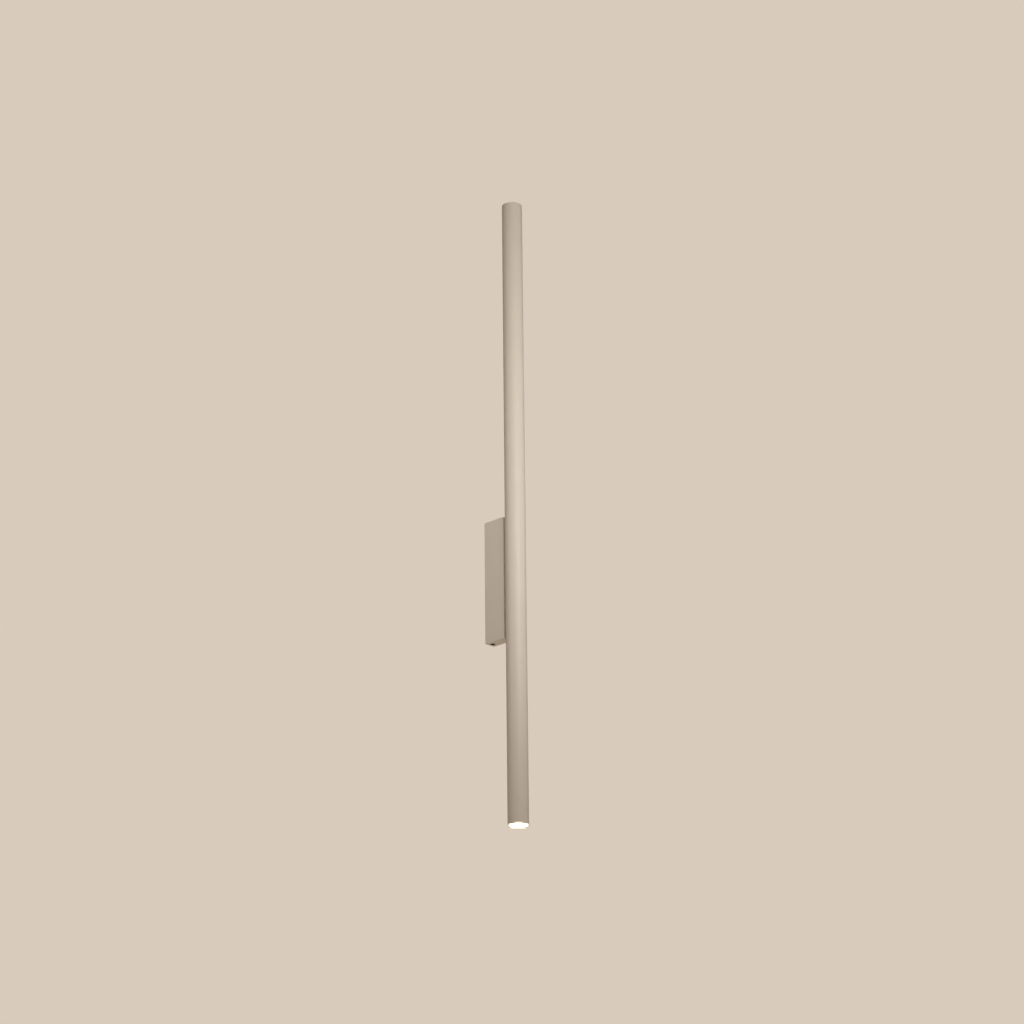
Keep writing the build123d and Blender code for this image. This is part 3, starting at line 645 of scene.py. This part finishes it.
clamps_low, clamps_high, clamps_middle = extent("terminal_screws")
clamp_head, clamp_head_high = 1.75 * mm, 1.6 * mm
clamp_rows = low_head(1.2 * mm, clamp_head, 1.6 * mm, clamp_head_high, 0.25 * mm)
clamp_slot, clamp_slot_depth = bar(round_angle, 1.45 * mm, 0.35 * mm), 0.7 * mm
clamp_long = clamps_high[1] - clamps_low[1] - clamp_head_high
clamp_shell = screw(m25, clamp_long, clamp_rows, clamp_slot, clamp_slot_depth)
clamp_seat = clamps_high[1] - clamp_head_high
clamp_x = clamps_high[0] - clamp_head
piece(
    "zinc_clamping_screws", "terminal_screws", zinc_plate,
    [placed(clamp_shell, (x, clamp_seat, clamps_middle[2]), inwards) for x in (-clamp_x, clamp_x)],
)

# ---- Supply leads ----
# Two straight single-core leads run from the driver to the terminal block, one brown and one blue. Their PVC
# insulation is slightly waisted where it was drawn through the extruder.

# Extruded PVC: a smooth satin skin with faint streaks 0.3 mm apart along the lead.
waists, waist_share, core_share = 9, 0.015, 0.4
for node, name, colour, second in (
    ("live_lead", "brown", "#5c3a22", "#503019"), ("neutral_lead", "blue", "#2257a8", "#1c4a94"),
):
    low, high, middle = extent(node)
    along_lead = np.linspace(0, 1, 25)
    lead_radius = (high[0] - low[0]) / 2
    swell = lead_radius * (1 - waist_share * np.sin(waists * math.pi * along_lead) ** 2)
    heights = along_lead * (high[2] - low[2])
    core = core_share * lead_radius
    shell = turned([(core, 0), *zip(swell, heights), (core, heights[-1])], 32)
    pvc = finish(f"{name}_pvc_insulation", colour, second, 4, 0.3, 0.004, 0.4, 0.06, (1, 1, 0.1))
    piece(f"{name}_supply_lead", node, pvc, [placed(shell, (middle[0], middle[1], low[2]), upwards)])

# ---- Earth stud ----
# A zinc plated M4 stud welded to the front wall, with a toothed washer, whose teeth are twisted to bite
# through the coat, and a nut.
stud("earth_stud", m4)
nut("earth_nut", 7 * mm, m4)

# A cosine wave round the edge, steepened and cut off flat, makes the teeth, and a sine wave twists them.
washer_low, washer_high, washer_middle = extent("earth_washer")
washer_inner, washer_outer, washer_teeth, tooth_share = 2.2 * mm, washer_high[0], 12, 0.10
tooth_root, half_sheet = 0.75 * washer_outer, 0.25 * (washer_high[1] - washer_low[1])
tooth_gap = 0.5 - 0.5 * np.clip(3 * np.cos(washer_teeth * round_angle), -1, 1)
tooth_edge = washer_outer * (1 - tooth_share * tooth_gap)
twist = half_sheet * np.sin(washer_teeth * round_angle)
washer_rows = [
    (washer_inner, -half_sheet), (tooth_root, -half_sheet), (tooth_edge, twist - half_sheet),
    (tooth_edge, twist + half_sheet), (tooth_root, half_sheet), (washer_inner, half_sheet),
]
washer_shell = turned(washer_rows, columns, closed=True)
piece("toothed_earth_washer", "earth_washer", zinc_plate, [placed(washer_shell, washer_middle, inwards)])

# ---- Driver and its pads ----
# The driver is a slim case moulded in white polycarbonate, closed by a lid with a raised rim. Two foam pads
# stick it to the housing's front wall.

# Flame-retardant polycarbonate, moulded: a cold white satin with a fine spark-eroded grain of 0.15 mm.
polycarbonate = finish("moulded_polycarbonate", "#eceae4", "#e4e1d9", 30, 0.15, 0.006, 0.38, 0.06)
# Cross-linked polyethylene foam: a dark grey with closed cells of about 0.5 mm.
foam = finish("polyethylene_foam", "#55565a", "#47484c", 1, 0.5, 0.08, 0.8, 0.05)
dress(foam, "driver_pads")


def stepped(half_width, half_height, corner, levels):
    """A rectangular block, whose levels give heights and how far the sides are drawn in at each."""
    outlines = [rounded(half_width - inset, half_height - inset, corner) for _, inset in levels]
    return raised(outlines, [height for height, _ in levels])


# The case has a round front edge, sides with a moulding draft, and a groove round it below the lid.
case_low, case_high, _ = extent("driver_case")
case_deep = case_high[1] - case_low[1]
case_round, case_draft, joint_groove, joint_depth = 1.5 * mm, 0.08 * mm, 0.3 * mm, 0.25 * mm
case_levels = [
    (0, 0.55 * case_round), (0.1 * case_round, 0.3 * case_round), (0.45 * case_round, 0.06 * case_round),
    (case_round, 0), (case_deep - 4 * joint_groove, case_draft), (case_deep - 3 * joint_groove, joint_depth),
    (case_deep - 2 * joint_groove, joint_depth), (case_deep - joint_groove, case_draft),
    (case_deep, case_draft + 0.1 * mm),
]
case_shell = stepped(case_high[0], (case_high[2] - case_low[2]) / 2, 0.8 * mm, case_levels)
piece("moulded_driver_case", "driver_case", polycarbonate, [standing(case_shell, "driver_case")])

# The lid's edge is round, and inside its rim it steps down to a sunk middle.
lid_low, lid_high, _ = extent("driver_lid")
lid_thick, lid_rim, lid_sunk = lid_high[1] - lid_low[1], 1.4 * mm, 0.5 * mm
lid_levels = [
    (0, 0.05 * mm), (lid_thick - 0.6 * mm, 0), (lid_thick - 0.15 * mm, 0.25 * mm), (lid_thick, 0.6 * mm),
    (lid_thick, lid_rim), (lid_thick - 0.6 * lid_sunk, lid_rim + 0.15 * mm),
    (lid_thick - lid_sunk, lid_rim + 0.4 * mm),
]
lid_shell = stepped(lid_high[0], (lid_high[2] - lid_low[2]) / 2, 0.6 * mm, lid_levels)
piece("moulded_driver_lid", "driver_lid", polycarbonate, [standing(lid_shell, "driver_lid")])

# ---- Tube ----
# A drawn 30 mm tube, 1.5 mm thick, powder coated like the housing. Inside each end runs the groove for the
# retaining ring. Its back has two screw holes, the leads' hole between them, and a hole near each end.
tube_low, tube_high, tube_middle = extent("tube")
tube_radius, tube_wall, tube_edge = 15 * mm, 1.5 * mm, 0.3 * mm
ring_groove, ring_from_end, ring_groove_long = 0.5 * mm, 0.6 * mm, 1.05 * mm
bore = tube_radius - tube_wall
tube_axis = np.array([0, tube_high[1] - tube_radius, 0])
grooved = bore + ring_groove
top_out, bottom_out = tube_high[2] - ring_from_end, tube_low[2] + ring_from_end
top_in, bottom_in = top_out - ring_groove_long, bottom_out + ring_groove_long
tube_outline = softened([
    (tube_radius, tube_low[2]), (tube_radius, tube_high[2]), (bore, tube_high[2]),
    (bore, top_out), (grooved, top_out), (grooved, top_in), (bore, top_in),
    (bore, bottom_in), (grooved, bottom_in), (grooved, bottom_out), (bore, bottom_out), (bore, tube_low[2]),
], tube_edge)
tube_shell = placed(turned(tube_outline, 160, closed=True), tube_axis, upwards)

sink_hole = 3.4 * mm
sink_heights = {end: extent(f"sink_screw_{end}")[2][2] for end in ("lower", "upper")}
tube_back = (tube_radius - 3 * tube_wall, tube_radius + tube_wall)
tube_holes = [
    drilled(diameter, *tube_back, (0, tube_axis[1], z), inwards)
    for diameter, z in (
        *((fixing_hole, z) for z in fixing_heights), (lead_hole, grommet_middle[2]),
        *((sink_hole, z) for z in sink_heights.values()),
    )
]
piece("coated_tube", "tube", powder_coat, [tube_shell], tube_holes)

# ---- Saddle washers, fixing screws and nut strip ----
# Two socket screws run from inside the housing through its front wall, a saddle washer hollowed to fit the
# tube, and the tube's back, into a tapped aluminium strip that lies in the bore.

# Extruded and cut aluminium, bare: a pale grey metal with saw and die lines 0.25 mm apart.
aluminium = finish(
    "extruded_aluminium", "#d2d3d6", "#c2c4c8", 10, 0.25, 0.006, 0.35, 0.08, (1, 1, 0.08), metal
)
dress(aluminium, "saddle_washers", "nut_strip")

# Their heads are buttons: a short upright side, then a dome round the socket.
fixing_head_high, fixing_socket = 2.4 * mm, hexagon(round_angle, 2.5 * mm)
button_rows = softened([
    (2.2 * mm, 0), (fixing_head / 2, 0), (fixing_head / 2, 0.45 * fixing_head_high),
    (0.39 * fixing_head, fixing_head_high), (0.3 * fixing_head, fixing_head_high),
], 0.7 * mm, 5, closed=False)
fixing_long = screws_high[1] - screws_low[1] - fixing_head_high
fixing_shell = screw(m4, fixing_long, button_rows, fixing_socket, 0.6 * fixing_head_high)
piece(
    "zinc_fixing_screws", "fixing_screws", zinc_plate,
    [placed(fixing_shell, (0, front_inside, z), inwards) for z in fixing_heights],
)

# ---- Lamp leads and their grommet ----
# Two silicone-insulated leads drop from the driver, turn through a rubber bush into the tube, and run one up
# and one down its bore to the lamps.
grommet_low, grommet_high, _ = extent("tube_grommet")
lead_passage = 5.2 * mm
lead_bush = bush(lead_hole / 2 - fit, lead_passage / 2, grommet_high[0], front_inside - grommet_low[1])
lead_seat = (0, front_inside, grommet_middle[2])
piece("moulded_tube_grommet", "tube_grommet", rubber, [placed(lead_bush, lead_seat, inwards)])

# Silicone rubber, extruded: a milky white with a dry, slightly dusty sheen.
silicone = finish(
    "silicone_insulation", "#dfdcd3", "#d4d0c5", 6, 0.2, 0.004, 0.5, 0.06, shader={"Sheen Weight": 0.15}
)
lead_bend, lead_offset = 4.5 * mm, 1 * mm


def lead(node, side):
    """A round lead carried along its middle line: three straight runs with a wide turn between each.

    Each row of the surface is a circle square to the line: one axis is X, the other lies square to the line.
    Side is 1 for the lead that turns up in the tube and -1 for the one that turns down.
    """
    low, high, _ = extent(node)
    radius = (high[0] - low[0]) / 2
    drop_y, inside_y, pass_z = high[1] - radius, low[1] + radius, grommet_middle[2] + side * lead_offset
    far = high[2] if side > 0 else low[2]
    corners = [(drop_y, case_low[2]), (drop_y, pass_z), (inside_y, pass_z), (inside_y, far)]
    line = softened(corners, lead_bend, 14, closed=False)
    last_run = np.linspace(0.02, 0.98, 12)[:, None]
    line = np.insert(line, -1, line[-2] + (line[-1] - line[-2]) * last_run, axis=0)
    slope = np.gradient(line, axis=0)
    slope /= np.linalg.norm(slope, axis=1)[:, None]
    angle = around(24)
    across, outwards = radius * np.cos(angle), radius * np.sin(angle)
    rows = np.empty((len(line), len(angle), 3))
    rows[..., 0] = across
    rows[..., 1] = line[:, :1] - slope[:, 1:] * outwards
    rows[..., 2] = line[:, 1:] + slope[:, :1] * outwards
    return skin(rows)


piece("upper_lamp_lead", "led_lead_upper", silicone, [lead("led_lead_upper", 1)])
piece("lower_lamp_lead", "led_lead_lower", silicone, [lead("led_lead_lower", -1)])

# ---- Lamps ----
# Each end of the tube holds, from the end inwards: a spring ring, a moulded lens in a sleeve, a light source
# on a round metal-core board, a thermal pad, and a finned heat sink that a grub screw holds. Each is made
# once, with Z the depth from the tube's end, and placed at both ends.
ends = {
    "lower": ((0, tube_axis[1], tube_low[2]), upwards),
    "upper": ((0, tube_axis[1], tube_high[2]), downwards, (-1, 0, 0)),
}


def depths(node):
    """How deep a lamp's piece starts and ends, from the tube's end inwards."""
    low, high, _ = extent(node + "_lower")
    return low[2] - tube_low[2], high[2] - tube_low[2]


def at_both_ends(name, node, material, shells, edge=0.0):
    """One piece at each end of the tube."""
    for end, place in ends.items():
        moved = [placed(shell, *place) for shell in shells]
        piece(f"{name}_{end}", f"{node}_{end}", material, moved, edge=edge)


# Hardened spring steel: a mid-grey satin. The ring is bent from wire of square section, open at the front.
spring_steel = finish("spring_steel", "#8f9094", "#7c7d82", 3, 0.2, 0.005, 0.32, 0.08, shader=metal)
ring_start, ring_end = depths("retaining_ring")
ring_outer, ring_wide, ring_gap = bore + ring_groove - fit, 1.3 * mm, 3.5 * mm
ring_line = ring_outer - ring_wide / 2
gap_angle = math.asin(ring_gap / ring_line)
ring_angle = np.linspace(-math.pi / 2 + gap_angle, 1.5 * math.pi - gap_angle, 90)
ring_section = rounded(ring_wide / 2, (ring_end - ring_start) / 2, 0.2 * mm, 3)
ring_rows = np.empty((len(ring_angle), len(ring_section), 3))
ring_reach = ring_line + ring_section[:, 0]
ring_rows[..., 0] = np.outer(np.cos(ring_angle), ring_reach)
ring_rows[..., 1] = np.outer(np.sin(ring_angle), ring_reach)
ring_rows[..., 2] = (ring_start + ring_end) / 2 + ring_section[:, 1]
at_both_ends("spring_ring", "retaining_ring", spring_steel, [skin(ring_rows)], edge=0.05 * mm)


def from_axis(tree):
    """Distance from the tube's axis, in metres, in the piece's own space."""
    place = add(tree, "TexCoord").outputs["Object"]
    centred = add(tree, "Mapping", {"Vector": place, "Location": (0, -tube_axis[1], 0), "Scale": (1, 1, 0)})
    return add(tree, "VectorMath", {0: centred.outputs["Vector"]}, operation="LENGTH").outputs["Value"]


def from_middle(tree):
    """Height above or below the middle of the tube, in metres, in the piece's own space."""
    place = add(tree, "TexCoord").outputs["Object"]
    height = add(tree, "SeparateXYZ", {0: place}).outputs["Z"]
    above = add(tree, "Math", {0: height, 1: float(tube_middle[2])}, operation="SUBTRACT").outputs[0]
    return add(tree, "Math", {0: above}, operation="ABSOLUTE").outputs[0]


# Clear moulded acrylic, lit from within: the face glows a warm white, and most of all near the rim, where the
# lens's side sends the light out. The body behind it stays clear, with only a little stray light.
acrylic = bpy.data.materials.new("lit_clear_acrylic")
inside_lens = cleared(acrylic)
rim_start, rim_end, face_glow, rim_glow, stray_glow = 10.5 * mm, 11.3 * mm, 1.7, 6.5, 0.08
face_depth, face_end = 1.9 * mm, 2.3 * mm
tube_half = float(tube_high[2] - tube_middle[2])
across_face = ramp(inside_lens, from_axis(inside_lens), rim_start, rim_end, face_glow, rim_glow)
on_face = ramp(
    inside_lens, from_middle(inside_lens), tube_half - face_end, tube_half - face_depth,
    stray_glow / face_glow, 1.0,
)
glow = add(inside_lens, "Math", {0: across_face, 1: on_face}, operation="MULTIPLY").outputs[0]
lens_surface = add(inside_lens, "BsdfPrincipled", {
    "Base Color": linear("#fdfaf3"), "Roughness": 0.06, "IOR": 1.49, "Transmission Weight": 0.9,
    "Emission Color": linear("#ffe9cc"), "Emission Strength": glow,
})
add(inside_lens, "OutputMaterial", {"Surface": lens_surface.outputs[0]})

# The lens is turned from one profile: the face, the flange, a side that follows a parabola, whose depth from
# the tip grows with the radius squared, and a domed pocket at the tip.
lens_start, lens_end = depths("lens")
lens_flange, lens_tip, lens_pocket, lens_pocket_deep = 2 * mm, 4.4 * mm, 2.9 * mm, 3.5 * mm
lens_out = bore - 0.2 * mm
lens_body = lens_out - 1.4 * mm
pillow_pitch, pillow_high, pillow_reach = 1.6 * mm, 0.05 * mm, 11.6 * mm
lens_columns = 168
lens_angle = around(lens_columns)


def pillows(radius):
    """Height of the face's fine pillows at a radius, for each angle: three waves 60 degrees apart, added up.

    The waves' sum runs from -1.5 to 3. It fades out towards the flange, so that the rim stays flat.
    """
    x, y = radius * np.cos(lens_angle), radius * np.sin(lens_angle)
    waves = sum(
        np.cos(2 * math.pi / pillow_pitch * (x * math.cos(a) + y * math.sin(a)))
        for a in (0, math.pi / 3, 2 * math.pi / 3)
    )
    fade = np.clip((pillow_reach - radius) / pillow_pitch, 0, 1)
    return pillow_high * fade * (1.5 - waves) / 4.5


face_rows = [(radius, lens_start + pillows(radius)) for radius in np.linspace(0.1 * mm, pillow_reach, 62)]
flange_inside, lens_edge = lens_start + lens_flange, 0.1 * mm
side_radii = np.linspace(lens_body, lens_tip, 16)
side_share = (side_radii**2 - lens_tip**2) / (lens_body**2 - lens_tip**2)
side_rows = zip(side_radii, lens_end - (lens_end - flange_inside) * side_share)
pocket_angle, pocket_dome = np.linspace(0, math.pi / 2, 8), lens_pocket_deep / 2
pocket_radii = np.maximum(lens_pocket * np.cos(pocket_angle), 0.05 * mm)
pocket_rows = zip(pocket_radii, lens_end - pocket_dome - pocket_dome * np.sin(pocket_angle))
lens_rows = face_rows + [
    (lens_out - lens_edge, lens_start), (lens_out, lens_start + lens_edge),
    (lens_out, flange_inside - lens_edge), (lens_out - lens_edge, flange_inside),
    *side_rows, (lens_pocket, lens_end), *pocket_rows,
]
at_both_ends("pillow_faced_lens", "lens", acrylic, [turned(lens_rows, lens_columns)])

# Frosted polycarbonate, extruded thin and cut to length: a milky white that lets light through.
frosted = finish(
    "frosted_polycarbonate", "#f1efe9", "#e9e6df", 8, 0.2, 0.01, 0.55,
    shader={"Transmission Weight": 0.35, "IOR": 1.58},
)
sleeve_start, sleeve_end = depths("lens_sleeve")
sleeve_in = lens_out - 1.0 * mm
sleeve_outline = softened([
    (lens_out, sleeve_start), (lens_out, sleeve_end), (sleeve_in, sleeve_end), (sleeve_in, sleeve_start),
], 0.15 * mm, 3)
at_both_ends("frosted_sleeve", "lens_sleeve", frosted, [turned(sleeve_outline, 96, closed=True)])

# The light source is a white ceramic carrier under a dome of yellow phosphor in silicone, which glows.
phosphor = bpy.data.materials.new("phosphor_on_ceramic")
on_chip = cleared(phosphor)
chip_dome, dome_edge, dome_glow = 2.2 * mm, 0.05 * mm, 12.0
inside_dome = ramp(on_chip, from_axis(on_chip), chip_dome, chip_dome + dome_edge, 1.0, 0.0)
chip_tones = {0: inside_dome, 6: linear("#e8e6e0"), 7: linear("#f2cf5a")}
chip_tone = add(on_chip, "Mix", chip_tones, data_type="RGBA").outputs[2]
chip_glow = add(on_chip, "Math", {0: inside_dome, 1: dome_glow}, operation="MULTIPLY").outputs[0]
chip_surface = add(on_chip, "BsdfPrincipled", {
    "Base Color": chip_tone, "Roughness": 0.3,
    "Emission Color": linear("#ffe2b8"), "Emission Strength": chip_glow,
})
add(on_chip, "OutputMaterial", {"Surface": chip_surface.outputs[0]})
chip_start, chip_end = depths("led_chip")
chip_half, carrier_thick, carrier_edge = 2.5 * mm, 0.6 * mm, 0.05 * mm
carrier_front, dome_high = chip_end - carrier_thick, chip_end - chip_start - carrier_thick
dome_angle = np.linspace(0, math.pi / 2, 10)
dome_radii = np.maximum(chip_dome * np.cos(dome_angle), 0.03 * mm)
dome_shell = turned(zip(dome_radii, carrier_front - dome_high * np.sin(dome_angle)), 64)
carrier_shell = stepped(chip_half, chip_half, 0.2 * mm, [
    (chip_end, carrier_edge), (chip_end - carrier_edge, 0), (carrier_front + carrier_edge, 0),
    (carrier_front, carrier_edge),
])
at_both_ends("domed_light_source", "led_chip", phosphor, [carrier_shell, dome_shell])

# The board is aluminium under a smooth white solder mask. The pad is grey silicone, filled and dull.
solder_mask = finish("white_solder_mask", "#edece7", "#e4e2da", 6, 0.3, 0.004, 0.35, 0.05)
gap_pad = finish("thermal_silicone_pad", "#8f9499", "#83888d", 2, 0.2, 0.02, 0.7, 0.05)
for end in ends:
    dress(solder_mask, f"led_board_{end}")
    dress(gap_pad, f"thermal_pad_{end}")
    dress(aluminium, f"heat_sink_{end}")

# Board screws have a cross recess and a low round head.
board_out, board_head_high = 8.4 * mm, 1.4 * mm
screws_start, screws_end = depths("board_screws")
board_rows = low_head(1.4 * mm, 2.2 * mm, 1.8 * mm, board_head_high, 0.4 * mm)
board_cross, board_cross_depth = cross(round_angle, 1.45 * mm, 0.32 * mm), 0.6 * mm
board_long = screws_end - screws_start - board_head_high
board_shell = screw(m25, board_long, board_rows, board_cross, board_cross_depth)
board_seat = screws_start + board_head_high
at_both_ends("zinc_board_screws", "board_screws", zinc_plate, [
    placed(board_shell, (x, 0, board_seat), downwards) for x in (-board_out, board_out)
])

# The grub screw comes through the tube's back into the heat sink's head.
sink_low, sink_high, _ = extent("sink_screw_lower")
sink_socket, sink_socket_depth, sink_cone = hexagon(round_angle, 1.5 * mm), 2.5 * mm, 0.5 * mm
sink_shell = screw(
    m3, sink_high[1] - sink_low[1], recess=sink_socket, recess_depth=sink_socket_depth, cone=sink_cone
)
for end, z in sink_heights.items():
    sink_screw = placed(sink_shell, (0, sink_high[1], z), inwards)
    piece(f"black_sink_screw_{end}", f"sink_screw_{end}", black_oxide, [sink_screw])

# ---- Glare round the lit face ----
# The lit face is far brighter than anything round it, so in a camera a little of its light spreads over the
# tube's rim. Only what is brighter than white spreads, and the spread is a share of the picture's width.
glare_settings = {"Threshold": 1.0, "Strength": 1.0, "Size": 0.005}
bpy.context.scene.use_nodes = True
darkroom = bpy.context.scene.node_tree
darkroom.nodes.clear()
exposed = darkroom.nodes.new("CompositorNodeRLayers")
glare = darkroom.nodes.new("CompositorNodeGlare")
glare.glare_type = "BLOOM"
for socket, value in glare_settings.items():
    glare.inputs[socket].default_value = value
developed = darkroom.nodes.new("CompositorNodeComposite")
darkroom.links.new(exposed.outputs["Image"], glare.inputs["Image"])
darkroom.links.new(glare.outputs["Image"], developed.inputs["Image"])
